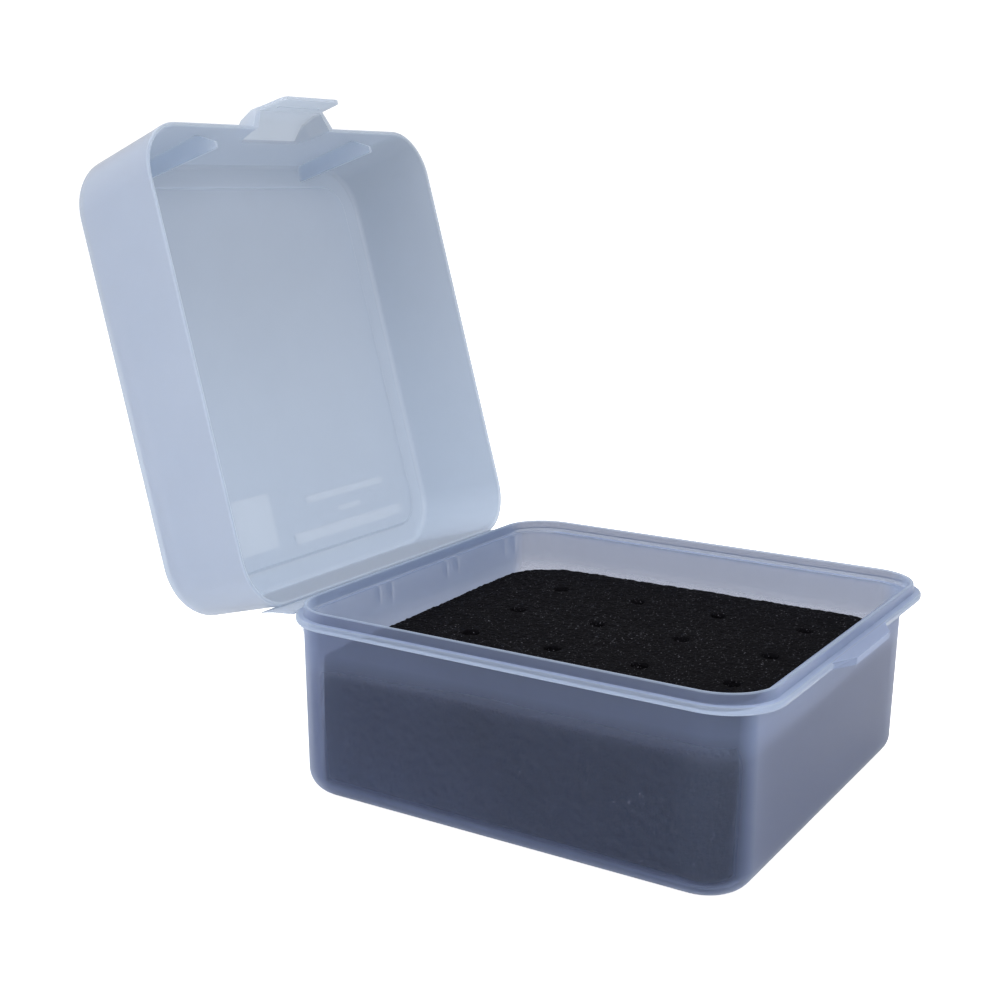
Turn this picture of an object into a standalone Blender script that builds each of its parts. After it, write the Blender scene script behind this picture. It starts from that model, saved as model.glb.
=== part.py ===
"""Miniature carry case: a clear moulded tub, its hinged latching lid and a foam tray block.

Metres, +Z up. The case stands on its tub with the latch side towards -Y and the hinge side
towards +Y. The lid stands open on its hinge.
"""

import math

import bmesh
import bpy

MM = 0.001

# Tub
UPSTAND_X = 72.5
UPSTAND_Y = 74.0
UPSTAND_TOP = 58.1
UPSTAND_WALL = 1.2
UPSTAND_R = 15.6
FLANGE_X = 74.9
FLANGE_Y = 76.4
FLANGE_R = 18.0
FLANGE_TOP = 55.0
FLANGE_LOW = 52.95
WALL_X = 71.1
WALL_FRONT = -69.9
WALL_BACK = 73.4
WALL_R_TOP = 12.0
WALL_R_LOW = 14.0
WALL_DRAFT = 0.0125
WALL_T = 1.3
FLOOR_T = 1.5
FOOT_FILLET = 6.8
LEDGE_Z = 54.3

# Tongue of the flange that the latch tab closes over
TONGUE_ROOT = 23.0
TONGUE_TIP = 14.6
TONGUE_Y = -80.2
TONGUE_INSET = 0.05

# Raised wall of the flange: how far its lip is softened
LIP_SOFT = 0.35
EDGE_SOFT = 0.4

# Hinge: a thin web runs out from the rear flange, with pairs of gussets under it (y, z outlines)
HINGE_Y = 78.7
HINGE_Z = 51.5
OPEN_ANGLE = math.radians(106.3)
WEB_X = 65.0
WEB_SIDE = (
    (75.6, 53.4), (77.0, 53.25), (80.0, 53.0), (82.7, 52.75), (82.75, 53.55), (80.0, 53.85),
    (77.2, 54.25), (75.6, 54.5),
)
GUSSET_X = (-58.3, -19.8, 19.8, 58.3)
GUSSET_OFF = 3.4
GUSSET_T = 1.2
GUSSET_SIDE = ((72.9, 46.6), (73.8, 46.6), (75.7, 50.2), (75.9, 53.4), (72.9, 53.4))

# Lid, measured as if closed
RIM_Z = 55.3
RIM_X = 74.0
RIM_Y = 75.5
RIM_R = 16.6
LID_TOP = 90.8
LID_TOP_X = 72.1
LID_TOP_FRONT = -72.66
LID_TOP_BACK = 75.5
LID_TOP_R = 19.0
LID_WALL = 1.2
LID_PLATE = 1.5
LID_FILLET = 3.0
SKIRT_TOP = 58.5
STEP_INSET = 8.3
STEP_DEPTH = 0.8

# Latch boss and tab
BOSS_TOP = 70.0
BOSS_Y = -81.75
TAB_LOW = 45.2
TAB_OUT = -81.8
TAB_T = 1.15
TAB_LEAN = 0.045
TAB_TOP = 57.4
TAB_TOP_X = 15.9
TAB_LOW_X = 14.8
BEAD_X = 11.0
BEAD_LOW = 51.3
BEAD_TOP = 52.5
BEAD_IN = -80.55
BEAD_DEPTH = 0.8

# Stiffening ribs inside the latch wall of the lid
RIB_X = 41.0
RIB_T = 1.2
RIB_SIDE = (
    (-66.0, LID_TOP - 1.2), (-72.4, LID_TOP - 1.2), (-73.1, 80.0), (-73.9, 70.0),
    (-74.1, 63.6), (-73.2, 61.5), (-69.9, 55.9), (-69.3, 55.6), (-68.1, 55.6), (-67.6, 56.1),
)

# Raised panels on the outside of the lid plate: low x, high x, low y, high y
PANELS = (
    (-35.5, -16.0, 42.0, 61.0),
    (2.7, 48.6, 46.6, 49.2),
    (19.0, 32.6, 52.8, 54.9),
    (-7.3, 56.0, 58.2, 62.2),
)
PANEL_R = 0.9
PANEL_RAISE = 0.5
PANEL_ROOT = 0.4

# Foam block
FOAM_TOP = 41.0
FOAM_LOW = 1.8
FOAM_GAP = 0.3
FOAM_EDGE = 6.5
HOLE_PITCH = 29.6
HOLE_R = 2.75
HOLE_DEPTH = 20.0
HOLE_ROWS = 4
HOLE_STEPS = 16

CORNER_STEPS = 8


def clear_scene():
    for obj in list(bpy.data.objects):
        bpy.data.objects.remove(obj, do_unlink=True)


def material(name, color, rough, transmission):
    mat = bpy.data.materials.new(name)
    mat.use_nodes = True
    shader = mat.node_tree.nodes["Principled BSDF"]
    shader.inputs["Base Color"].default_value = (*color, 1.0)
    shader.inputs["Roughness"].default_value = rough
    shader.inputs["Transmission Weight"].default_value = transmission
    return mat


def rounded(x0, x1, y0, y1, r, z):
    """A rounded rectangle at height z, anticlockwise from above."""
    centres = ((x1 - r, y0 + r, -90), (x1 - r, y1 - r, 0), (x0 + r, y1 - r, 90), (x0 + r, y0 + r, 180))
    ring = []
    for cx, cy, start in centres:
        for step in range(CORNER_STEPS + 1):
            a = math.radians(start + 90 * step / CORNER_STEPS)
            ring.append((cx + r * math.cos(a), cy + r * math.sin(a), z))
    return ring


def softened(points, radii, steps=4):
    """A flat polygon with each corner rounded by its own radius (0 keeps it sharp)."""
    out = []
    count = len(points)
    for i, (px, py) in enumerate(points):
        r = radii[i]
        if r == 0:
            out.append((px, py))
            continue
        ax, ay = points[i - 1]
        bx, by = points[(i + 1) % count]
        la = math.hypot(ax - px, ay - py)
        lb = math.hypot(bx - px, by - py)
        ua = ((ax - px) / la, (ay - py) / la)
        ub = ((bx - px) / lb, (by - py) / lb)
        half = math.acos(max(-1.0, min(1.0, ua[0] * ub[0] + ua[1] * ub[1]))) / 2
        reach = r / math.tan(half)
        start = (px + ua[0] * reach, py + ua[1] * reach)
        end = (px + ub[0] * reach, py + ub[1] * reach)
        middle = (ua[0] + ub[0], ua[1] + ub[1])
        ml = math.hypot(*middle)
        far = r / math.sin(half)
        cx = px + middle[0] / ml * far
        cy = py + middle[1] / ml * far
        a0 = math.atan2(start[1] - cy, start[0] - cx)
        a1 = math.atan2(end[1] - cy, end[0] - cx)
        turn = (a1 - a0 + math.pi) % (2 * math.pi) - math.pi
        for step in range(steps + 1):
            a = a0 + turn * step / steps
            out.append((cx + r * math.cos(a), cy + r * math.sin(a)))
    return out


def loft(name, rings, mat, pivot=(0.0, 0.0, 0.0)):
    """A closed body through rings of equal count, capped at both ends, about the pivot."""
    bm = bmesh.new()
    levels = []
    for ring in rings:
        verts = []
        for point in ring:
            verts.append(bm.verts.new([(c - p) * MM for c, p in zip(point, pivot)]))
        levels.append(verts)
    count = len(rings[0])
    for low, high in zip(levels, levels[1:]):
        for i in range(count):
            j = (i + 1) % count
            bm.faces.new((low[i], low[j], high[j], high[i]))
    bm.faces.new(levels[0][::-1])
    bm.faces.new(levels[-1])
    bmesh.ops.recalc_face_normals(bm, faces=bm.faces)
    mesh = bpy.data.meshes.new(name)
    bm.to_mesh(mesh)
    bm.free()
    mesh.materials.append(mat)
    obj = bpy.data.objects.new(name, mesh)
    bpy.context.scene.collection.objects.link(obj)
    obj.location = [c * MM for c in pivot]
    return obj


def prism(name, outline, axis, low, high, mat, pivot=(0.0, 0.0, 0.0)):
    """A flat outline extruded along an axis: (y, z) along x, (x, z) along y, (x, y) along z."""
    rings = []
    for level in (low, high):
        if axis == "x":
            rings.append([(level, a, b) for a, b in outline])
        elif axis == "y":
            rings.append([(a, level, b) for a, b in outline])
        else:
            rings.append([(a, b, level) for a, b in outline])
    return loft(name, rings, mat, pivot)


def combine(obj, others, operation):
    """Joins helpers to a body, or cuts them from it, then hides them."""
    for other in others:
        modifier = obj.modifiers.new(f"{operation.lower()}_{other.name}", "BOOLEAN")
        modifier.operation = operation
        modifier.solver = "EXACT"
        modifier.object = other
        other.hide_render = True
        other.display_type = "WIRE"


def tub_wall(z, inset, radius_less):
    """The tub's outer wall outline at a height, moved inwards by inset."""
    lean = (FLANGE_LOW - z) * WALL_DRAFT
    share = (FLANGE_LOW - z) / FLANGE_LOW
    r = WALL_R_TOP + (WALL_R_LOW - WALL_R_TOP) * share - radius_less
    x = WALL_X - lean - inset
    return rounded(-x, x, WALL_FRONT + lean + inset, WALL_BACK - lean - inset, r, z)


def frame_ring(size, inset, z):
    """A rim outline centred on the case (half width, half depth, corner radius), moved inwards."""
    x, y, r = (measure - inset for measure in size)
    return rounded(-x, x, -y, y, r, z)


def build_tub(mat):
    rings = []
    for step in range(6):
        a = math.radians(90 * step / 5)
        inset = FOOT_FILLET * (1 - math.sin(a))
        rings.append(tub_wall(FOOT_FILLET * (1 - math.cos(a)), inset, inset))
    rings.append(tub_wall(30.0, 0.0, 0.0))
    rings.append(tub_wall(FLANGE_LOW, 0.0, 0.0))
    flange = (FLANGE_X, FLANGE_Y, FLANGE_R)
    rings.append(frame_ring(flange, EDGE_SOFT, FLANGE_LOW))
    rings.append(frame_ring(flange, 0.0, FLANGE_LOW + EDGE_SOFT))
    rings.append(frame_ring(flange, 0.0, FLANGE_TOP - EDGE_SOFT))
    rings.append(frame_ring(flange, EDGE_SOFT, FLANGE_TOP))
    upstand = (UPSTAND_X, UPSTAND_Y, UPSTAND_R)
    rings.append(frame_ring(upstand, 0.0, FLANGE_TOP))
    rings.append(frame_ring(upstand, 0.0, UPSTAND_TOP - EDGE_SOFT))
    rings.append(frame_ring(upstand, LIP_SOFT, UPSTAND_TOP))
    rings.append(frame_ring(upstand, UPSTAND_WALL - LIP_SOFT, UPSTAND_TOP))
    rings.append(frame_ring(upstand, UPSTAND_WALL, UPSTAND_TOP - EDGE_SOFT))
    rings.append(frame_ring(upstand, UPSTAND_WALL, LEDGE_Z))
    rings.append(tub_wall(LEDGE_Z - 0.001, WALL_T, WALL_T))
    rings.append(tub_wall(30.0, WALL_T, WALL_T))
    fillet = FOOT_FILLET - WALL_T
    for step in range(6):
        a = math.radians(90 - 90 * step / 5)
        inset = WALL_T + fillet * (1 - math.sin(a))
        rings.append(tub_wall(FLOOR_T + fillet * (1 - math.cos(a)), inset, inset))
    tub = loft("tub", rings, mat)

    parts = []
    tongue = softened(
        ((-TONGUE_ROOT, -75.4), (-TONGUE_ROOT, -76.4), (-TONGUE_TIP, TONGUE_Y), (TONGUE_TIP, TONGUE_Y),
         (TONGUE_ROOT, -76.4), (TONGUE_ROOT, -75.4)),
        (0, 0, 2.0, 2.0, 0, 0),
    )
    low, high = FLANGE_LOW + TONGUE_INSET, FLANGE_TOP - TONGUE_INSET
    parts.append(prism("tongue_body", tongue, "z", low, high, mat))
    for i, x in enumerate(GUSSET_X):
        for side in (-1, 1):
            x0 = x + side * GUSSET_OFF - GUSSET_T / 2
            parts.append(prism(f"gusset_{i}_{side + 1}", GUSSET_SIDE, "x", x0, x0 + GUSSET_T, mat))
    parts.append(prism("web_body", WEB_SIDE, "x", -WEB_X, WEB_X, mat))
    combine(tub, parts, "UNION")
    return tub


def lid_wall(z, inset, radius_less):
    """The lid's outer outline at a closed height, moved inwards by inset."""
    share = (z - RIM_Z) / (LID_TOP - RIM_Z)
    x = RIM_X + (LID_TOP_X - RIM_X) * share - inset
    front = -RIM_Y + (LID_TOP_FRONT + RIM_Y) * share + inset
    back = RIM_Y + (LID_TOP_BACK - RIM_Y) * share - inset
    r = RIM_R + (LID_TOP_R - RIM_R) * share - radius_less
    return rounded(-x, x, front, back, r, z)


def boss_ring(z, root_y, root_x, out_y, out_x, r):
    outline = softened(
        ((-root_x, root_y), (-out_x, out_y), (out_x, out_y), (root_x, root_y)), (0, r, r, 0)
    )
    return [(x, y, z) for x, y in outline]


def box_outline(x0, x1, y0, y1, r):
    return softened(((x0, y0), (x1, y0), (x1, y1), (x0, y1)), (r, r, r, r), 3)


def build_lid(mat):
    pivot = (0.0, HINGE_Y, HINGE_Z)
    edge = LID_FILLET
    rings = [lid_wall(LID_TOP - STEP_DEPTH, STEP_INSET + 0.4, STEP_INSET + 0.4)]
    rings.append(lid_wall(LID_TOP, STEP_INSET - 0.4, STEP_INSET - 0.4))
    for step in range(5):
        a = math.radians(90 * step / 4)
        inset = edge * (1 - math.sin(a))
        rings.append(lid_wall(LID_TOP - edge * (1 - math.cos(a)), inset, inset))
    rings.append(lid_wall(RIM_Z + EDGE_SOFT, 0.0, 0.0))
    rim = (RIM_X, RIM_Y, RIM_R)
    rings.append(frame_ring(rim, EDGE_SOFT / 2, RIM_Z))
    rings.append(frame_ring(rim, LID_WALL, RIM_Z))
    rings.append(frame_ring(rim, LID_WALL, SKIRT_TOP))
    rings.append(lid_wall(72.0, LID_WALL, LID_WALL))
    under = LID_TOP - LID_PLATE
    fillet = edge - LID_WALL
    for step in range(4):
        a = math.radians(90 - 90 * step / 3)
        inset = LID_WALL + fillet * (1 - math.sin(a))
        rings.append(lid_wall(under - fillet * (1 - math.cos(a)), inset, inset))
    rings.append(lid_wall(under - 0.001, STEP_INSET + 0.6, STEP_INSET + 0.6))
    rings.append(lid_wall(under - STEP_DEPTH, STEP_INSET + 1.4, STEP_INSET + 1.4))
    lid = loft("lid", rings, mat, pivot)

    boss = loft(
        "boss_body",
        (
            boss_ring(RIM_Z + 0.02, -74.9, 21.2, BOSS_Y, 17.0, 1.5),
            boss_ring(58.5, -74.8, 20.9, BOSS_Y, 16.8, 1.5),
            boss_ring(64.0, -74.6, 18.8, -80.0, 16.2, 1.5),
            boss_ring(BOSS_TOP, -73.9, 15.6, -74.9, 15.4, 0.2),
        ),
        mat,
        pivot,
    )
    pocket = loft(
        "pocket_cutter",
        (
            boss_ring(RIM_Z - 2.0, -71.5, 20.6, BOSS_Y + 1.2, 15.9, 1.0),
            boss_ring(58.2, -71.5, 20.2, BOSS_Y + 1.2, 15.7, 1.0),
            boss_ring(63.2, -71.5, 18.2, -78.8, 15.0, 1.0),
            boss_ring(BOSS_TOP - 2.4, -71.5, 15.2, -74.5, 14.4, 0.2),
        ),
        mat,
        pivot,
    )
    tab = softened(
        ((-TAB_TOP_X, TAB_TOP), (-TAB_LOW_X, TAB_LOW), (TAB_LOW_X, TAB_LOW), (TAB_TOP_X, TAB_TOP)),
        (0.8, 2.4, 2.4, 0.8),
    )
    faces = []
    for y in (TAB_OUT, TAB_OUT + TAB_T):
        faces.append([(x, y + TAB_LEAN * (z - RIM_Z), z) for x, z in tab])
    tab_body = loft("tab_body", faces, mat, pivot)
    bead_outline = box_outline(-BEAD_X, BEAD_X, BEAD_LOW, BEAD_TOP, 0.4)
    bead = prism("bead_body", bead_outline, "y", BEAD_IN - BEAD_DEPTH, BEAD_IN, mat, pivot)
    joined = [boss, tab_body, bead]
    for side in (-1, 1):
        x0 = side * RIB_X - RIB_T / 2
        joined.append(prism(f"rib_{side + 1}", RIB_SIDE, "x", x0, x0 + RIB_T, mat, pivot))
    face = LID_TOP - STEP_DEPTH
    for i, (x0, x1, y0, y1) in enumerate(PANELS):
        outline = box_outline(x0, x1, y0, y1, PANEL_R)
        low, high = face - PANEL_ROOT, face + PANEL_RAISE
        joined.append(prism(f"panel_{i}", outline, "z", low, high, mat, pivot))
    combine(lid, joined[:1], "UNION")
    combine(lid, [pocket], "DIFFERENCE")
    combine(lid, joined[1:], "UNION")
    for obj in [lid, pocket] + joined:
        obj.rotation_euler = (-OPEN_ANGLE, 0.0, 0.0)
    return lid


def build_foam(mat):
    gap = WALL_T + FOAM_GAP
    rings = []
    for step in range(5):
        a = math.radians(90 * step / 4)
        inset = gap + FOAM_EDGE * (1 - math.sin(a))
        rings.append(tub_wall(FOAM_LOW + FOAM_EDGE * (1 - math.cos(a)), inset, inset))
    rings.append(tub_wall(FOAM_TOP, gap, gap))
    foam = loft("foam", rings, mat)
    holes = []
    middle = (HOLE_ROWS - 1) / 2
    for i in range(HOLE_ROWS):
        for j in range(HOLE_ROWS):
            x = (i - middle) * HOLE_PITCH
            y = (j - middle) * HOLE_PITCH
            ring = []
            for step in range(HOLE_STEPS):
                a = 2 * math.pi * step / HOLE_STEPS
                ring.append((x + HOLE_R * math.cos(a), y + HOLE_R * math.sin(a)))
            holes.append(prism(f"hole_{i}_{j}", ring, "z", FOAM_TOP - HOLE_DEPTH, FOAM_TOP + 2.0, mat))
    combine(foam, holes, "DIFFERENCE")
    return foam


def main():
    clear_scene()
    clear = material("frosted_plastic", (0.62, 0.68, 0.78), 0.35, 0.6)
    black = material("black_foam", (0.02, 0.02, 0.024), 0.95, 0.0)
    build_tub(clear)
    build_lid(clear)
    build_foam(black)


main()
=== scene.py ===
"""Looks for the miniature carry case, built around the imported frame."""

import math

import bmesh
import bpy
import numpy as np
from mathutils import Matrix, Vector, noise


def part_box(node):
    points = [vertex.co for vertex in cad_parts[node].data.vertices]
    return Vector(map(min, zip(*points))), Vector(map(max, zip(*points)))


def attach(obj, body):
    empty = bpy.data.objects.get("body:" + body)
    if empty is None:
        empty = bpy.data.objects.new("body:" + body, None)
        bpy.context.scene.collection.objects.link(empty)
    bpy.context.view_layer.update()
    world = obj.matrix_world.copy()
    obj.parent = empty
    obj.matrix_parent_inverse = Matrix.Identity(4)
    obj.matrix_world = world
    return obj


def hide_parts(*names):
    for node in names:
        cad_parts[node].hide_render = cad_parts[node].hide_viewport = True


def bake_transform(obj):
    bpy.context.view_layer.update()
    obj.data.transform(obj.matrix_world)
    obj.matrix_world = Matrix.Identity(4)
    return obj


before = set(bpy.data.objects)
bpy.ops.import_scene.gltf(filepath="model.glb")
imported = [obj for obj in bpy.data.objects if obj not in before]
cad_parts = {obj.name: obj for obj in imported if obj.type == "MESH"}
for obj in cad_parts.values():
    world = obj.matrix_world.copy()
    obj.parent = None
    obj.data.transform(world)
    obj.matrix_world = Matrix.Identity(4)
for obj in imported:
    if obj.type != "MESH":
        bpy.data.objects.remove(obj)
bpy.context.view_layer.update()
MM = 0.001

# ---- dimensions, in millimetres --------------------------------------------------------------
UPSTAND = (72.5, 74.0, 15.6)
UPSTAND_TOP = 58.1
UPSTAND_WALL = 1.2
FLANGE = (74.9, 76.4, 18.0)
FLANGE_LOW = 52.95
FLANGE_TOP = 55.0
FLANGE_ROUND = 0.7
WALL_X = 71.1
WALL_FRONT = -69.9
WALL_BACK = 73.4
WALL_R_TOP = 12.0
WALL_R_LOW = 14.0
WALL_DRAFT = 0.0125
WALL_T = 1.3
FLOOR_T = 1.5
FOOT_FILLET = 6.8
LEDGE_Z = 54.3
HINGE_Y = 78.7
HINGE_Z = 51.5
OPEN_ANGLE = math.radians(106.3)
TONGUE = (
    (-24.0, -75.4), (-23.0, -76.2), (-14.6, -80.2), (14.6, -80.2), (23.0, -76.2), (24.0, -75.4),
)
GUSSET_X = (-58.3, -19.8, 19.8, 58.3)
GUSSET_APART = 3.4
GUSSET_HALF = 0.6
GUSSET_SIDE = ((72.9, 46.6), (73.8, 46.6), (75.7, 50.2), (75.9, 53.4), (72.9, 53.4))
WEB_HALF = 65.2
WEB_UPPER = (
    (75.7, 54.45), (76.8, 54.3), (78.5, 54.05), (81.0, 53.8), (83.2, 53.6), (85.0, 52.9),
    (88.1, 52.15),
)
WEB_LOWER = (
    (88.2, 51.85), (85.6, 52.4), (83.4, 52.75), (81.0, 53.0), (78.5, 53.2), (76.8, 53.4),
    (75.7, 53.5),
)
RIM = (74.0, 75.5, 16.6)
RIM_Z = 55.3
LID_TOP = 90.8
LID_TOP_X = 72.1
LID_TOP_FRONT = -72.66
LID_TOP_BACK = 75.5
LID_TOP_R = 19.0
LID_WALL = 1.2
LID_PLATE = 1.5
LID_FILLET = 3.0
SKIRT_TOP = 58.5
STEP_INSET = 8.3
STEP_DEPTH = 0.8
BOSS_TOP = 70.0
BOSS_Y = -81.75
TAB_LOW = 45.2
TAB_OUT = -81.8
TAB_T = 1.15
TAB_LEAN = 0.045
TAB_SIDE = ((-15.9, 57.4), (-14.8, TAB_LOW), (14.8, TAB_LOW), (15.9, 57.4))
BEAD_IN = -80.55
RIB_X = 41.0
RIB_HALF = 0.6
RIB_SIDE = (
    (-66.0, 89.6), (-72.4, 89.6), (-73.1, 80.0), (-73.9, 70.0), (-74.1, 63.6), (-73.2, 61.5),
    (-69.7, 55.6), (-67.6, 55.6),
)
PANELS = (
    (-35.5, -16.0, 42.0, 61.0),
    (2.7, 48.6, 46.6, 49.2),
    (19.0, 32.6, 52.8, 54.9),
    (-7.3, 56.0, 58.2, 62.2),
)
FOAM_VOXEL = 0.8
FOAM_CORNER = 21.0
FOAM_RISE = 0.8
FOAM_SINK = 0.9
FOAM_SIDE_TOP = 38.5
FOAM_SIDE_DEPTH = 9.0

# ---- light, in metres and watts, and camera, in millimetres and radians -----------------------
ROOM_LIGHT = 0.5
PAPER_LIGHT = 1.1
FLOOR_LIGHT = 0.7
LAMPS = (
    ("key", (-0.3, -1.1, 0.9), 0.8, 13.5),
    ("fill", (-1.3, 0.2, 0.6), 0.9, 18.0),
    ("top", (-0.2, 0.2, 1.5), 1.0, 9.0),
)
CAMERA_PLACE = (-412.72, -204.01, 185.21)
CAMERA_TURN = (1.0132, 0.1805, 0.0119)


# ---- mesh helpers -----------------------------------------------------------------------------
def link(obj):
    bpy.context.scene.collection.objects.link(obj)
    return obj


def rounded(x0, x1, y0, y1, r, z, steps=20):
    """A rounded rectangle at height z with extra points along its straight sides."""
    centres = (
        (x1 - r, y0 + r, -90), (x1 - r, y1 - r, 0), (x0 + r, y1 - r, 90), (x0 + r, y0 + r, 180)
    )
    arcs = []
    for cx, cy, start in centres:
        arc = []
        for step in range(steps + 1):
            a = math.radians(start + 90 * step / steps)
            arc.append(Vector((cx + r * math.cos(a), cy + r * math.sin(a), z)))
        arcs.append(arc)
    ring = []
    for arc, following in zip(arcs, arcs[1:] + arcs[:1]):
        ring += arc
        for share in (0.02, 0.15, 0.4, 0.6, 0.85, 0.98):
            ring.append(arc[-1].lerp(following[0], share))
    return ring


def softened(points, radii, steps=6):
    """A flat polygon with each corner rounded by its own radius (0 keeps it sharp)."""
    out = []
    count = len(points)
    for i, point in enumerate(points):
        p = Vector(point)
        r = radii[i]
        if r == 0:
            out.append(p)
            continue
        ua = (Vector(points[i - 1]) - p).normalized()
        ub = (Vector(points[(i + 1) % count]) - p).normalized()
        half = ua.angle(ub) / 2
        c = p + (ua + ub).normalized() * (r / math.sin(half))
        start = p + ua * (r / math.tan(half)) - c
        end = p + ub * (r / math.tan(half)) - c
        a0 = math.atan2(start.y, start.x)
        turn = (math.atan2(end.y, end.x) - a0 + math.pi) % (2 * math.pi) - math.pi
        for step in range(steps + 1):
            a = a0 + turn * step / steps
            out.append(c + Vector((r * math.cos(a), r * math.sin(a))))
    return out


def loft(name, rings):
    """A closed body through rings of equal count, in millimetres, capped at both ends."""
    bm = bmesh.new()
    levels = [[bm.verts.new(Vector(p) * MM) for p in ring] for ring in rings]
    count = len(rings[0])
    for low, high in zip(levels, levels[1:]):
        for i in range(count):
            j = (i + 1) % count
            bm.faces.new((low[i], low[j], high[j], high[i]))
    bm.faces.new(levels[0][::-1])
    bm.faces.new(levels[-1])
    bmesh.ops.recalc_face_normals(bm, faces=bm.faces)
    mesh = bpy.data.meshes.new(name)
    bm.to_mesh(mesh)
    bm.free()
    return link(bpy.data.objects.new(name, mesh))


def prism(name, outline, axis, low, high):
    """A flat outline extruded along an axis: (y, z) along x, (x, z) along y, (x, y) along z."""
    place = {
        "x": lambda p, t: (t, p[0], p[1]),
        "y": lambda p, t: (p[0], t, p[1]),
        "z": lambda p, t: (p[0], p[1], t),
    }[axis]
    return loft(name, [[place(p, t) for p in outline] for t in (low, high)])


def merge(target, parts, operation):
    """Joins parts to the target, or cuts them from it, and removes them."""
    for part in parts:
        modifier = target.modifiers.new("merge", "BOOLEAN")
        modifier.operation = operation
        modifier.solver = "EXACT"
        modifier.object = part
    graph = bpy.context.evaluated_depsgraph_get()
    graph.update()
    mesh = bpy.data.meshes.new_from_object(target.evaluated_get(graph))
    target.modifiers.clear()
    old = target.data
    target.data = mesh
    bpy.data.meshes.remove(old)
    for part in parts:
        bpy.data.objects.remove(part, do_unlink=True)


def finish_shell(obj, bevel=0.18):
    """Softens the moulded edges and shades the shell smooth."""
    edge = obj.modifiers.new("moulded_edges", "BEVEL")
    edge.width = bevel * MM
    edge.segments = 2
    edge.limit_method = "ANGLE"
    edge.angle_limit = math.radians(40)
    edge.harden_normals = False
    for polygon in obj.data.polygons:
        polygon.use_smooth = True
    normals = obj.modifiers.new("flat_faces_lead", "WEIGHTED_NORMAL")
    normals.keep_sharp = False
    normals.weight = 50


def outline_depth(p, size, middle=0.0):
    """How far a point lies inside a rounded rectangle (half width, half depth, corner radius)."""
    x, y, r = size
    return r - math.hypot(max(abs(p.x) - x + r, 0.0), max(abs(p.y - middle) - y + r, 0.0))


def paint(obj, index, chosen):
    """Gives the faces whose middle, in millimetres, is chosen another of the shell's materials."""
    for polygon in obj.data.polygons:
        if chosen(polygon.center / MM):
            polygon.material_index = index


# ---- tub ------------------------------------------------------------------------------------
def tub_wall(z, inset, radius_less):
    lean = (FLANGE_LOW - z) * WALL_DRAFT
    share = (FLANGE_LOW - z) / FLANGE_LOW
    r = WALL_R_TOP + (WALL_R_LOW - WALL_R_TOP) * share - radius_less
    x = WALL_X - lean - inset
    return rounded(-x, x, WALL_FRONT + lean + inset, WALL_BACK - lean - inset, r, z)


def frame_ring(size, inset, z):
    x, y, r = size
    return rounded(inset - x, x - inset, inset - y, y - inset, r - inset, z)


def quarter(steps, down=False):
    """(1 - sin, 1 - cos) pairs round a quarter circle."""
    angles = [90 * i / steps for i in range(steps + 1)]
    if down:
        angles.reverse()
    return [(1 - math.sin(math.radians(a)), 1 - math.cos(math.radians(a))) for a in angles]


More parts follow.
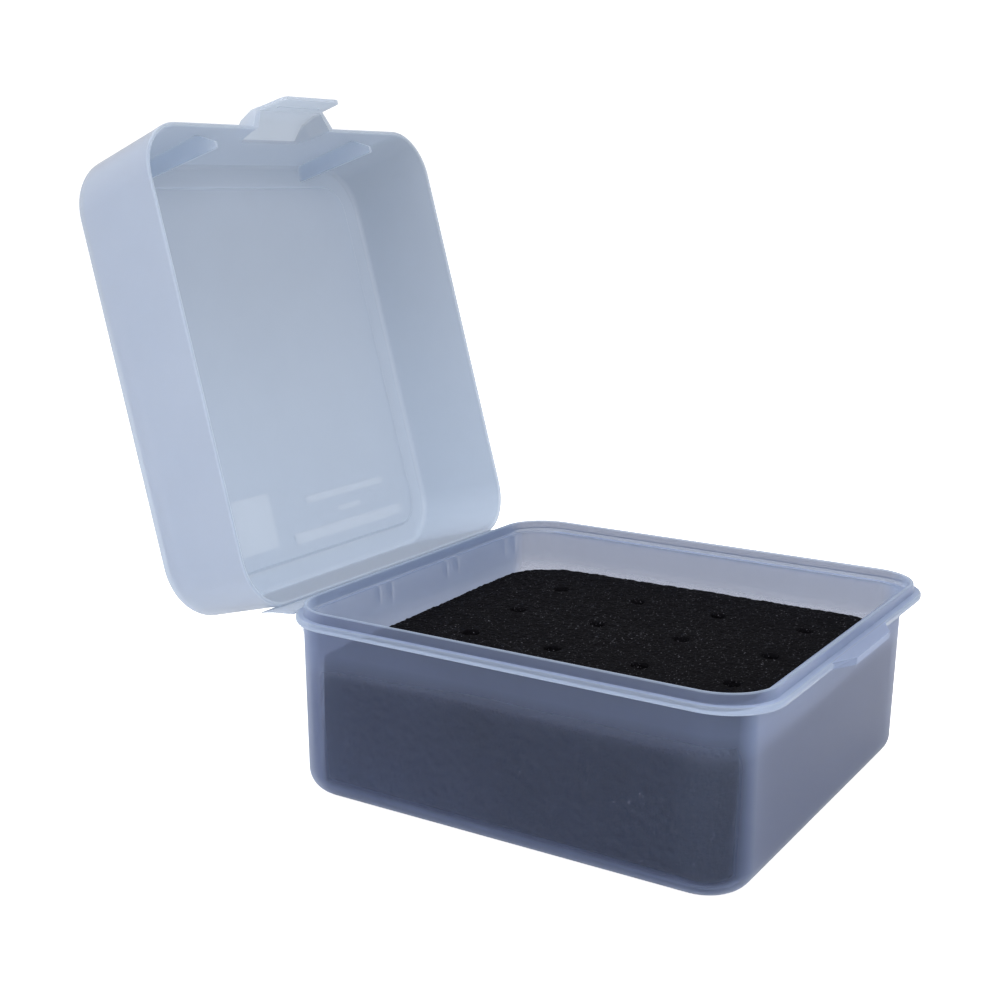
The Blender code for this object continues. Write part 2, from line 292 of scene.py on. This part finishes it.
def build_tub():
    rings = []
    for side, up in quarter(10):
        inset = FOOT_FILLET * side
        rings.append(tub_wall(FOOT_FILLET * up, inset, inset))
    for z in (20.0, 36.0, 50.0):
        rings.append(tub_wall(z, 0.0, 0.0))
    for side, up in quarter(4, True):
        rings.append(tub_wall(FLANGE_LOW - 0.8 * up, -0.8 * side, -0.8 * side))
    for side, up in quarter(4):
        rings.append(frame_ring(FLANGE, FLANGE_ROUND * side, FLANGE_LOW + FLANGE_ROUND * up))
    for side, up in quarter(4, True):
        rings.append(frame_ring(FLANGE, FLANGE_ROUND * side, FLANGE_TOP - FLANGE_ROUND * up))
    rings.append(frame_ring(UPSTAND, -0.35, FLANGE_TOP))
    rings.append(frame_ring(UPSTAND, -0.1, FLANGE_TOP + 0.1))
    rings.append(frame_ring(UPSTAND, 0.0, FLANGE_TOP + 0.35))
    lip = UPSTAND_WALL / 2
    for side, up in quarter(4, True):
        rings.append(frame_ring(UPSTAND, lip * side, UPSTAND_TOP - lip * up))
    for side, up in quarter(4)[1:]:
        rings.append(frame_ring(UPSTAND, UPSTAND_WALL - lip * side, UPSTAND_TOP - lip * up))
    rings.append(frame_ring(UPSTAND, UPSTAND_WALL, LEDGE_Z + 0.4))
    rings.append(frame_ring(UPSTAND, UPSTAND_WALL + 0.1, LEDGE_Z + 0.1))
    rings.append(frame_ring(UPSTAND, UPSTAND_WALL + 0.3, LEDGE_Z))
    rings.append(tub_wall(LEDGE_Z - 0.02, WALL_T - 0.3, WALL_T - 0.3))
    rings.append(tub_wall(LEDGE_Z - 0.1, WALL_T - 0.1, WALL_T - 0.1))
    rings.append(tub_wall(LEDGE_Z - 0.4, WALL_T, WALL_T))
    for z in (50.0, 36.0, 20.0):
        rings.append(tub_wall(z, WALL_T, WALL_T))
    fillet = FOOT_FILLET - WALL_T
    for side, up in quarter(10, True):
        inset = WALL_T + fillet * side
        rings.append(tub_wall(FLOOR_T + fillet * up, inset, inset))
    tub = loft("tub_shell", rings)

    parts = []
    tongue = softened(TONGUE, (0, 0, 2.0, 2.0, 0, 0))
    parts.append(prism("tongue", tongue, "z", FLANGE_LOW + 0.05, FLANGE_TOP - 0.05))
    gusset = softened(GUSSET_SIDE, (0, 0.4, 0.8, 0, 0), 4)
    for x in GUSSET_X:
        for side in (-1, 1):
            middle = x + side * GUSSET_APART
            parts.append(prism("gusset", gusset, "x", middle - GUSSET_HALF, middle + GUSSET_HALF))
    merge(tub, parts, "UNION")
    tub.data.materials.clear()
    # The tub's plastic is painted darker above the foam's top: a painted shade.
    tub.data.materials.append(frosted_plastic(
        "tub_plastic", edge_on=0.7, milk_from=0.32, milk_low=0.135, glow_share=0.60, shade_above_foam=0.17,
        body_colour=(0.135, 0.175, 0.33), glow_colour=(0.78, 0.87, 1.0), tint=(0.68, 0.69, 0.74),
    ))
    # A much whiter copy of the plastic for the back gussets: painted light, for their lit whitish
    # look.
    tub.data.materials.append(frosted_plastic(
        "tub_gussets_painted_lighter", edge_on=0.5, milk_from=0.15, milk_low=0.50, glow_share=0.50,
        body_colour=(0.85, 0.88, 0.92), glow_colour=(0.95, 0.97, 1.0), tint=(0.95, 0.96, 0.98),
    ))
    # A lighter copy of the plastic for the upstand's lip and the flange's edges: painted highlight
    # lines.
    tub.data.materials.append(frosted_plastic(
        "tub_painted_highlight_edges", edge_on=0.5, milk_from=0.15, milk_low=0.45, glow_share=0.50,
        body_colour=(0.27, 0.33, 0.45), glow_colour=(0.90, 0.95, 1.0), tint=(0.76, 0.80, 0.86),
    ))

    # The faces that get the painted highlight: the upstand's top lip and the flange's outer edge.
    def painted_highlight_faces(p):
        lip = p.z > UPSTAND_TOP - 0.45
        flange = p.z > FLANGE_LOW and outline_depth(p, FLANGE) < 0.72 and p.y > -76.5
        return lip or flange

    paint(tub, 2, painted_highlight_faces)
    # The back gussets get the whiter copy: painted light.
    paint(tub, 1, lambda p: p.y > 74.3 and p.z < FLANGE_LOW - 0.1)
    return tub


# ---- lid, drawn closed and then opened ----------------------------------------------------------
def lid_wall(z, inset, radius_less):
    share = (z - RIM_Z) / (LID_TOP - RIM_Z)
    x = RIM[0] + (LID_TOP_X - RIM[0]) * share - inset
    front = -RIM[1] + (LID_TOP_FRONT + RIM[1]) * share + inset
    back = RIM[1] + (LID_TOP_BACK - RIM[1]) * share - inset
    r = RIM[2] + (LID_TOP_R - RIM[2]) * share - radius_less
    return rounded(-x, x, front, back, r, z)


def boss_ring(z, root_y, root_x, out_y, out_x, r):
    outline = softened(
        ((-root_x, root_y), (-out_x, out_y), (out_x, out_y), (root_x, root_y)), (0, r, r, 0)
    )
    return [(p.x, p.y, z) for p in outline]


def box_outline(x0, x1, y0, y1, r):
    return softened(((x0, y0), (x1, y0), (x1, y1), (x0, y1)), (r, r, r, r), 4)


def build_lid():
    rings = [lid_wall(LID_TOP - STEP_DEPTH, STEP_INSET + 1.0, STEP_INSET + 1.0)]
    for share in (0.0, 0.15, 0.5, 0.85, 1.0):
        ease = share * share * (3 - 2 * share)
        rings.append(lid_wall(
            LID_TOP - STEP_DEPTH * (1 - ease), STEP_INSET + 0.5 - share, STEP_INSET + 0.5 - share))
    for side, up in quarter(8):
        rings.append(lid_wall(LID_TOP - LID_FILLET * up, LID_FILLET * side, LID_FILLET * side))
    for z in (80.0, 70.0, 60.0):
        rings.append(lid_wall(z, 0.0, 0.0))
    lip = LID_WALL / 2
    for side, up in quarter(4, True):
        rings.append(frame_ring(RIM, lip * side, RIM_Z + lip * up))
    for side, up in quarter(4)[1:]:
        rings.append(frame_ring(RIM, LID_WALL - lip * side, RIM_Z + lip * up))
    rings.append(frame_ring(RIM, LID_WALL, SKIRT_TOP - 0.3))
    rings.append(lid_wall(SKIRT_TOP + 0.6, LID_WALL - 0.05, LID_WALL - 0.05))
    for z in (70.0, 80.0):
        rings.append(lid_wall(z, LID_WALL, LID_WALL))
    under = LID_TOP - LID_PLATE
    fillet = LID_FILLET - LID_WALL
    for side, up in quarter(6, True):
        inset = LID_WALL + fillet * side
        rings.append(lid_wall(under - fillet * up, inset, inset))
    for share in (0.0, 0.15, 0.5, 0.85, 1.0):
        ease = share * share * (3 - 2 * share)
        rings.append(lid_wall(
            under - 0.001 - STEP_DEPTH * ease, STEP_INSET + 0.5 + share, STEP_INSET + 0.5 + share))
    rings.append(lid_wall(under - 0.001 - STEP_DEPTH, STEP_INSET + 2.0, STEP_INSET + 2.0))
    lid = loft("lid_shell", rings)

    boss = loft("boss", (
        boss_ring(RIM_Z + 0.02, -74.9, 21.2, BOSS_Y, 17.0, 1.5),
        boss_ring(58.5, -74.8, 20.9, BOSS_Y, 16.8, 1.5),
        boss_ring(64.0, -74.6, 18.8, -80.0, 16.2, 1.5),
        boss_ring(BOSS_TOP, -73.9, 15.6, -74.9, 15.4, 0.2),
    ))
    pocket = loft("pocket", (
        boss_ring(RIM_Z - 2.0, -71.5, 20.6, BOSS_Y + 1.2, 15.9, 1.0),
        boss_ring(58.2, -71.5, 20.2, BOSS_Y + 1.2, 15.7, 1.0),
        boss_ring(63.2, -71.5, 18.2, -78.8, 15.0, 1.0),
        boss_ring(BOSS_TOP - 2.4, -71.5, 15.2, -74.5, 14.4, 0.2),
    ))
    tab = softened(TAB_SIDE, (0.8, 2.4, 2.4, 0.8))
    faces = []
    for y in (TAB_OUT, TAB_OUT + TAB_T):
        faces.append([(p.x, y + TAB_LEAN * (p.y - RIM_Z), p.y) for p in tab])
    parts = [loft("tab", faces)]
    bead = box_outline(-11.0, 11.0, 51.3, 52.5, 0.5)
    parts.append(prism("bead", bead, "y", BEAD_IN - 0.8, BEAD_IN))
    rib = softened(RIB_SIDE, (0, 0, 0, 0, 0, 0, 0.7, 0.7), 4)
    for side in (-1, 1):
        parts.append(prism("rib", rib, "x", side * RIB_X - RIB_HALF, side * RIB_X + RIB_HALF))
    face = LID_TOP - STEP_DEPTH
    for x0, x1, y0, y1 in PANELS:
        parts.append(prism("panel", box_outline(x0, x1, y0, y1, 0.9), "z", face - 0.4, face + 0.5))
    merge(lid, [boss], "UNION")
    merge(lid, [pocket], "DIFFERENCE")
    merge(lid, parts, "UNION")
    lid.data.materials.clear()
    # The lid's plastic is a lighter copy of the tub's, painted lighter to stand in for the light
    # that reaches the lid from behind: painted light.
    lid.data.materials.append(frosted_plastic(
        "lid_plastic", edge_on=0.3, milk_from=0.15, milk_low=0.40, glow_share=0.44,
        body_colour=(0.56, 0.58, 0.64), glow_colour=(0.62, 0.69, 0.78), tint=(0.66, 0.73, 0.82),
    ))
    # A lighter copy of the plastic for the rim, the latch's front, the ribs' ends and the plate's
    # step: painted highlight lines.
    lid.data.materials.append(frosted_plastic(
        "lid_painted_highlight_edges", edge_on=0.5, milk_from=0.15, milk_low=0.38, glow_share=0.45,
        body_colour=(0.54, 0.58, 0.65), glow_colour=(0.80, 0.86, 0.93), tint=(0.84, 0.88, 0.93),
    ))
    plate = (LID_TOP_X, (LID_TOP_BACK - LID_TOP_FRONT) / 2, LID_TOP_R)
    middle = (LID_TOP_BACK + LID_TOP_FRONT) / 2

    # The faces that get the painted highlight: the rim, the latch's front, the ribs' ends and the
    # step round the plate.
    def painted_highlight_faces(p):
        if p.z < RIM_Z + 0.62 or p.y < -75.9:
            return True
        if abs(abs(p.x) - RIB_X) < 0.7 and p.y < -66.0:
            return True
        depth = outline_depth(p, plate, middle)
        return p.z > LID_TOP - STEP_DEPTH + 0.04 and depth > STEP_INSET - 0.6

    paint(lid, 1, painted_highlight_faces)
    hinge = Vector((0.0, HINGE_Y, HINGE_Z)) * MM
    opened = Matrix.Rotation(-OPEN_ANGLE, 4, "X")
    lid.data.transform(Matrix.Translation(hinge) @ opened @ Matrix.Translation(-hinge))
    return lid


def build_web():
    """The thin strip that hinges the lid to the flange, drawn as it lies with the lid open."""
    outline = []
    for line in (WEB_UPPER, WEB_LOWER):
        for (y0, z0), (y1, z1) in zip(line, line[1:]):
            for step in range(4):
                outline.append((y0 + (y1 - y0) * step / 4, z0 + (z1 - z0) * step / 4))
        outline.append(line[-1])
    return prism("hinge_web", outline, "x", -WEB_HALF, WEB_HALF)


# ---- foam -----------------------------------------------------------------------------------
def build_foam():
    """A copy of the foam solid remeshed finely, its skin broken up by open cells."""
    foam = link(bpy.data.objects.new("foam_block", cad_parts["foam"].data.copy()))
    foam.data.materials.clear()
    remesh = foam.modifiers.new("cells", "REMESH")
    remesh.mode = "VOXEL"
    remesh.voxel_size = FOAM_VOXEL * MM
    graph = bpy.context.evaluated_depsgraph_get()
    graph.update()
    mesh = bpy.data.meshes.new_from_object(foam.evaluated_get(graph))
    foam.modifiers.clear()
    foam.data = mesh
    count = len(mesh.vertices)
    co = np.empty(count * 3)
    mesh.vertices.foreach_get("co", co)
    co = co.reshape(-1, 3)
    normal = np.empty(count * 3)
    mesh.vertices.foreach_get("normal", normal)
    normal = normal.reshape(-1, 3)
    depth = np.empty(count)
    swell = np.empty(count)
    for i in range(count):
        p = Vector(co[i] / MM)
        fine = 0.30 * noise.noise(p * 0.9)
        depth[i] = fine + 0.25 * noise.noise(p * 0.45) + 0.12 * noise.noise(p * 0.16)
        swell[i] = 0.35 * noise.noise(Vector((p.x * 0.05, p.y * 0.05, 3.0)))
    depth = np.clip(depth - 0.14, -0.60, 0.05)
    co += normal * depth[:, None] * MM
    # The block's upright corners are cut rounder than the tub's.
    low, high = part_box("foam")
    half_x = high[0]
    half_y = (high[1] - low[1]) / 2
    middle = (high[1] + low[1]) / 2
    r = FOAM_CORNER * MM
    beyond = np.stack([np.abs(co[:, 0]) - half_x + r, np.abs(co[:, 1] - middle) - half_y + r], 1)
    reach = np.hypot(beyond[:, 0], beyond[:, 1])
    outside = (beyond > 0).all(axis=1) & (reach > r)
    pull = np.where(outside, (reach - r) / np.maximum(reach, r), 0.0)
    co[:, 0] -= np.sign(co[:, 0]) * beyond[:, 0] * pull
    co[:, 1] -= np.sign(co[:, 1] - middle) * beyond[:, 1] * pull
    # The cut top is a little uneven: it rises towards the far wall and sinks along the hinge side.
    rise = FOAM_RISE * co[:, 0] / (WALL_X * MM)
    sink = FOAM_SINK * np.clip(co[:, 1] / (WALL_BACK * MM), 0, 1) ** 2
    near_top = np.clip((co[:, 2] / MM - 30.0) / 11.0, 0, 1)
    co[:, 2] += (swell + rise - sink) * near_top * MM
    mesh.vertices.foreach_set("co", co.reshape(-1))
    for polygon in mesh.polygons:
        polygon.use_smooth = True
    return foam


# ---- materials ------------------------------------------------------------------------------
def nodes_for(name):
    mat = bpy.data.materials.new(name)
    mat.use_nodes = True
    tree = mat.node_tree
    tree.nodes.clear()
    return mat, tree


def add(tree, kind, **values):
    node = tree.nodes.new(kind)
    for key, value in values.items():
        if key in node.inputs:
            node.inputs[key].default_value = value
        else:
            setattr(node, key, value)
    return node


def noise_node(tree, coords, scale, detail, rough=0.5):
    node = add(tree, "ShaderNodeTexNoise", Scale=scale, Detail=detail, Roughness=rough)
    tree.links.new(coords, node.inputs["Vector"])
    return node.outputs["Fac"]


def ramp(tree, value, low, high, to_low, to_high):
    node = add(tree, "ShaderNodeMapRange")
    node.inputs["From Min"].default_value = low
    node.inputs["From Max"].default_value = high
    node.inputs["To Min"].default_value = to_low
    node.inputs["To Max"].default_value = to_high
    tree.links.new(value, node.inputs["Value"])
    return node.outputs["Result"]


def colour_socket(sockets):
    """The colour socket among a Mix node's sockets, several of which share one name."""
    return [socket for socket in sockets if socket.type == "RGBA"][0]


def frosted_plastic(
    name, edge_on, milk_from, milk_low, body_colour, glow_colour, glow_share, tint, shade_above_foam=0.0
):
    """Milky polypropylene: part see-through, part scattering, milkier where it is seen edge on.

    Above the height of the foam's top it is milkier and its tint is darker, by the last argument: a
    painted shade over the upper walls.
    """
    mat, tree = nodes_for(name)
    links = tree.links
    coords = add(tree, "ShaderNodeTexCoord").outputs["Object"]
    cloud = noise_node(tree, coords, 28.0, 3.0)
    fine = noise_node(tree, coords, 900.0, 2.0)
    waves = noise_node(tree, coords, 38.0, 1.0)

    facing = add(tree, "ShaderNodeLayerWeight", Blend=edge_on).outputs["Facing"]
    milk = ramp(tree, facing, milk_from, 1.0, milk_low, 0.85)
    mottled = ramp(tree, cloud, 0.3, 0.7, -0.012, 0.012)
    total = add(tree, "ShaderNodeMath", operation="ADD")
    links.new(milk, total.inputs[0])
    links.new(mottled, total.inputs[1])

    bump = add(tree, "ShaderNodeBump", Strength=0.30, Distance=0.0007)
    links.new(waves, bump.inputs["Height"])

    body = add(tree, "ShaderNodeBsdfPrincipled")
    body.inputs["Base Color"].default_value = (*body_colour, 1.0)
    body.inputs["Specular IOR Level"].default_value = 0.0
    links.new(ramp(tree, fine, 0.3, 0.7, 0.30, 0.42), body.inputs["Roughness"])
    links.new(bump.outputs["Normal"], body.inputs["Normal"])
    glow = add(tree, "ShaderNodeBsdfTranslucent", Color=(*glow_colour, 1.0))
    half = add(tree, "ShaderNodeMixShader", Fac=glow_share)
    links.new(body.outputs[0], half.inputs[1])
    links.new(glow.outputs[0], half.inputs[2])
    clear = add(tree, "ShaderNodeBsdfTransparent", Color=(*tint, 1.0))
    # Painted shade: above the foam's top the milk rises and the see-through tint darkens.
    if shade_above_foam:
        split = add(tree, "ShaderNodeSeparateXYZ")
        links.new(coords, split.inputs[0])
        height = ramp(tree, split.outputs["Z"], 0.038, 0.046, 0.0, 1.0)
        shaded_milk = add(tree, "ShaderNodeMath", operation="MULTIPLY_ADD")
        shaded_milk.inputs[1].default_value = shade_above_foam
        links.new(height, shaded_milk.inputs[0])
        links.new(total.outputs[0], shaded_milk.inputs[2])
        total = shaded_milk
        tints = add(tree, "ShaderNodeMix", data_type="RGBA")
        tints.inputs["A"].default_value = (*tint, 1.0)
        tints.inputs["B"].default_value = (*[0.84 * part for part in tint], 1.0)
        links.new(height, tints.inputs["Factor"])
        links.new(colour_socket(tints.outputs), clear.inputs["Color"])
    mix = add(tree, "ShaderNodeMixShader")
    links.new(total.outputs[0], mix.inputs["Fac"])
    links.new(clear.outputs[0], mix.inputs[1])
    links.new(half.outputs[0], mix.inputs[2])

    # A smooth moulded skin over all of it, which mirrors more where it is seen edge on.
    slant = add(tree, "ShaderNodeLayerWeight", Blend=0.5).outputs["Facing"]
    steep = add(tree, "ShaderNodeMath", operation="POWER")
    steep.inputs[1].default_value = 5.0
    links.new(slant, steep.inputs[0])
    skin = add(tree, "ShaderNodeBsdfGlossy", Roughness=0.30)
    links.new(bump.outputs["Normal"], skin.inputs["Normal"])
    coated = add(tree, "ShaderNodeMixShader")
    links.new(ramp(tree, steep.outputs[0], 0.0, 1.0, 0.012, 0.60), coated.inputs["Fac"])
    links.new(mix.outputs[0], coated.inputs[1])
    links.new(skin.outputs[0], coated.inputs[2])
    out = add(tree, "ShaderNodeOutputMaterial")
    links.new(coated.outputs[0], out.inputs["Surface"])
    return mat


def black_foam(name, cell_colour, glint_colour, roughness):
    """Dull black foam with small bumps, by roughness, and a scatter of paler specks painted into its
    colour as painted glints.
    """
    mat, tree = nodes_for(name)
    links = tree.links
    coords = add(tree, "ShaderNodeTexCoord").outputs["Object"]
    cells = add(tree, "ShaderNodeTexVoronoi", Scale=900.0)
    links.new(coords, cells.inputs["Vector"])
    patch = noise_node(tree, coords, 260.0, 3.0)
    sparkle = noise_node(tree, coords, 1500.0, 1.0)
    # Painted glints: paler specks mixed into the base colour.
    glint = ramp(tree, sparkle, 0.65, 0.80, 0.0, 1.0)
    colour = add(tree, "ShaderNodeMix", data_type="RGBA")
    colour.inputs["A"].default_value = (*cell_colour, 1.0)
    colour.inputs["B"].default_value = (*glint_colour, 1.0)
    links.new(glint, colour.inputs["Factor"])
    bump = add(tree, "ShaderNodeBump", Strength=0.8 * roughness, Distance=0.0006)
    links.new(cells.outputs["Distance"], bump.inputs["Height"])
    bump2 = add(tree, "ShaderNodeBump", Strength=0.5 * roughness, Distance=0.0008)
    links.new(patch, bump2.inputs["Height"])
    links.new(bump.outputs["Normal"], bump2.inputs["Normal"])
    shader = add(tree, "ShaderNodeBsdfPrincipled", Roughness=0.9)
    shader.inputs["Specular IOR Level"].default_value = 0.06
    links.new(colour_socket(colour.outputs), shader.inputs["Base Color"])
    links.new(bump2.outputs["Normal"], shader.inputs["Normal"])
    out = add(tree, "ShaderNodeOutputMaterial")
    links.new(shader.outputs[0], out.inputs["Surface"])
    return mat


# ---- stage ------------------------------------------------------------------------------------
def backdrop(tree, room, paper):
    """A soft grey room, whose white paper glows only where the camera sees it bare."""
    path = add(tree, "ShaderNodeLightPath")
    bare = add(tree, "ShaderNodeMath", operation="LESS_THAN")
    bare.inputs[1].default_value = 0.5
    tree.links.new(path.outputs["Transparent Depth"], bare.inputs[0])
    seen = add(tree, "ShaderNodeMath", operation="MULTIPLY")
    tree.links.new(path.outputs["Is Camera Ray"], seen.inputs[0])
    tree.links.new(bare.outputs[0], seen.inputs[1])
    return ramp(tree, seen.outputs[0], 0.0, 1.0, room, paper)


def build_stage():
    scene = bpy.context.scene
    scene.view_settings.view_transform = "Standard"
    world = bpy.data.worlds.new("studio")
    scene.world = world
    world.use_nodes = True
    tree = world.node_tree
    background = tree.nodes["Background"]
    background.inputs["Color"].default_value = (1.0, 1.0, 1.0, 1.0)
    tree.links.new(backdrop(tree, ROOM_LIGHT, PAPER_LIGHT), background.inputs["Strength"])

    bm = bmesh.new()
    for x, y in ((-40, -40), (40, -40), (40, 40), (-40, 40)):
        bm.verts.new((x, y, -0.0002))
    bm.faces.new(bm.verts)
    mesh = bpy.data.meshes.new("floor")
    bm.to_mesh(mesh)
    bm.free()
    floor = link(bpy.data.objects.new("floor", mesh))
    mat, tree = nodes_for("pale_floor")
    shader = add(tree, "ShaderNodeBsdfPrincipled", Roughness=0.9)
    shader.inputs["Base Color"].default_value = (0.96, 0.96, 0.96, 1.0)
    shader.inputs["Specular IOR Level"].default_value = 0.1
    shader.inputs["Emission Color"].default_value = (1.0, 1.0, 1.0, 1.0)
    tree.links.new(backdrop(tree, 0.0, FLOOR_LIGHT), shader.inputs["Emission Strength"])
    out = add(tree, "ShaderNodeOutputMaterial")
    tree.links.new(shader.outputs[0], out.inputs["Surface"])
    mesh.materials.append(mat)

    for name, place, size, power in LAMPS:
        lamp = bpy.data.lights.new(name, "AREA")
        lamp.size = size
        lamp.energy = power
        obj = link(bpy.data.objects.new(name, lamp))
        obj.location = place
        aim = Vector((0.0, 0.0, 0.05)) - Vector(place)
        obj.rotation_euler = aim.to_track_quat("-Z", "Y").to_euler()


def build_camera():
    yaw, pitch, roll = CAMERA_TURN
    forward = Vector((
        math.sin(yaw) * math.cos(pitch), math.cos(yaw) * math.cos(pitch), -math.sin(pitch)
    ))
    right = Vector((math.cos(yaw), -math.sin(yaw), 0.0))
    up = right.cross(forward)
    right, up = (
        right * math.cos(roll) + up * math.sin(roll),
        up * math.cos(roll) - right * math.sin(roll),
    )
    data = bpy.data.cameras.new("camera")
    data.lens = 55.26
    data.sensor_width = 36.0
    data.shift_x = 0.0261
    data.shift_y = -0.0507
    data.clip_start = 0.01
    data.clip_end = 100.0
    camera = link(bpy.data.objects.new("camera", data))
    turn = Matrix((right, up, -forward)).transposed().to_4x4()
    camera.matrix_world = Matrix.Translation(Vector(CAMERA_PLACE) * MM) @ turn
    bpy.context.scene.camera = camera


# ---- assembly -----------------------------------------------------------------------------------
tub = build_tub()
lid = build_lid()
for shell, node in ((tub, "tub"), (lid, "lid")):
    finish_shell(shell)
    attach(shell, node)
    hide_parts(node)
web = build_web()
web.data.materials.append(lid.data.materials[0])
for polygon in web.data.polygons:
    polygon.use_smooth = len(polygon.vertices) == 4
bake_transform(web)
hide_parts("tub")
foam = build_foam()
# One foam in two copies: the sides are painted lighter than the top, with brighter painted glints,
# so specks show through the tub's wall.
foam.data.materials.append(black_foam(
    "foam_top", cell_colour=(0.0018, 0.0017, 0.0026), glint_colour=(0.10, 0.10, 0.115), roughness=1.0
))
foam.data.materials.append(black_foam(
    "foam_sides_painted_lighter", cell_colour=(0.006, 0.009, 0.012), glint_colour=(0.30, 0.33, 0.35), roughness=0.12
))
foam_low, foam_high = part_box("foam")
foam_half = ((foam_high.x - foam_low.x) / 2 / MM, (foam_high.y - foam_low.y) / 2 / MM, FOAM_CORNER)
foam_middle = (foam_high.y + foam_low.y) / 2 / MM


# The foam's sides, which get the lighter copy with its brighter painted glints.
def on_foam_side(p):
    return p.z < FOAM_SIDE_TOP and outline_depth(p, foam_half, foam_middle) < FOAM_SIDE_DEPTH


paint(foam, 1, on_foam_side)
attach(foam, "foam")
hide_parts("foam")

build_stage()
build_camera()
